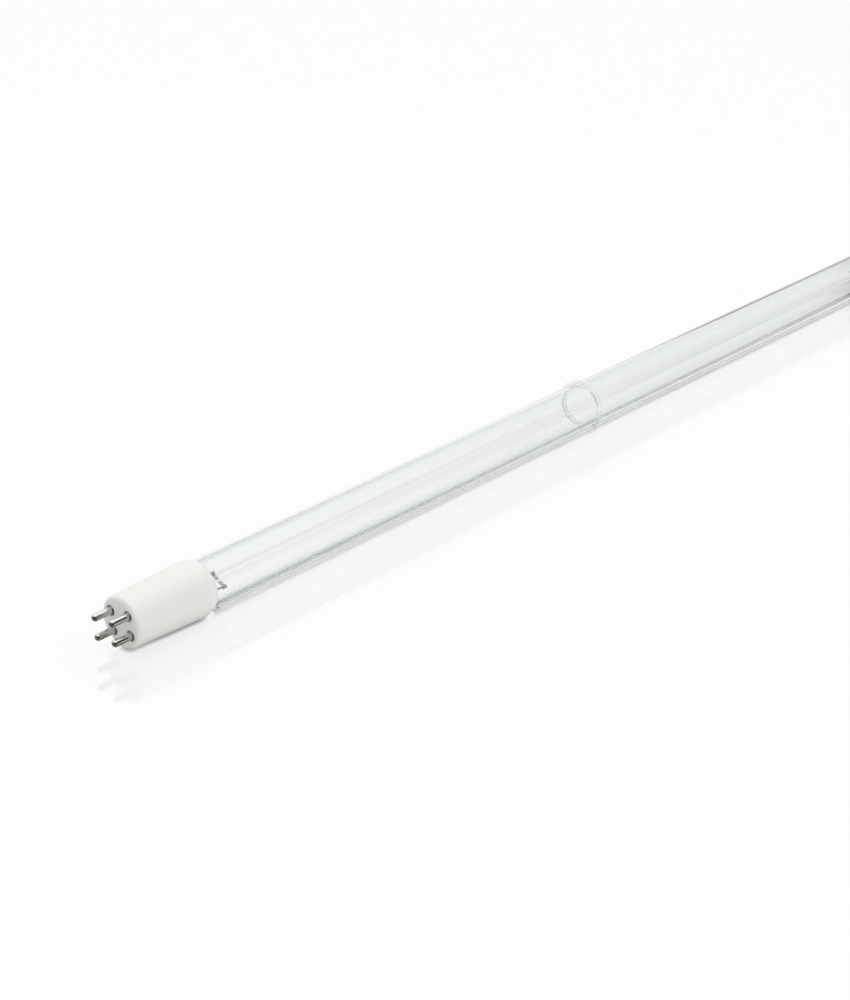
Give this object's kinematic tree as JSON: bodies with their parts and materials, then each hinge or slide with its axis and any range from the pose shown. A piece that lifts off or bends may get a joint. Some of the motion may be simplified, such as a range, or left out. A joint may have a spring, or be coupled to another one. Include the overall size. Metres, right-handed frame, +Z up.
{
  "type": "uv tube lamp",
  "caption": "Single-ended ultraviolet tube lamp: a clear quartz tube with a white ceramic pin base, a far end cap, and insulated return leads held along the tube by a ring.",
  "frame": {"origin": "middle of the pin face, on the lamp's axis", "axes": "+X along the lamp from the pin face to the far end, +Z up as the lamp lies, +Y to the left seen from the pins"},
  "size_m": [0.4428, 0.0186, 0.0186],
  "materials": {
    "ceramic": "fine unglazed white steatite",
    "cement": "matt white basing cement",
    "quartz": "clear, fire-polished",
    "ring_plastic": "translucent, smooth",
    "sleeve_plastic": "translucent, smooth",
    "pin_metal": "bright nickel plate",
    "lead_wire": "drawn nickel wire",
    "post_metal": "drawn nickel-iron wire, slightly dark",
    "foil_metal": "thin rolled foil",
    "coated_coil": "tungsten coil with a powdery white oxide coat",
    "mercury": "liquid bright"
  },
  "bodies": {
    "root": {"base_cement": "cement", "ceramic_base": "ceramic", "contact_pin_1": "pin_metal", "contact_pin_2": "pin_metal", "contact_pin_3": "pin_metal", "contact_pin_4": "pin_metal", "end_cap": "ceramic", "end_cement": "cement", "far_filament": "coated_coil", "far_foil_1": "foil_metal", "far_foil_2": "foil_metal", "far_post_1": "post_metal", "far_post_2": "post_metal", "lamp_tube": "quartz", "mercury_drop": "mercury", "near_filament": "coated_coil", "near_foil_1": "foil_metal", "near_foil_2": "foil_metal", "near_lead_1": "lead_wire", "near_lead_2": "lead_wire", "near_post_1": "post_metal", "near_post_2": "post_metal", "return_lead_1": "lead_wire", "return_lead_2": "lead_wire", "return_sleeve_1": "sleeve_plastic", "return_sleeve_2": "sleeve_plastic", "spacer_ring": "ring_plastic"}
  },
  "joints": []
}
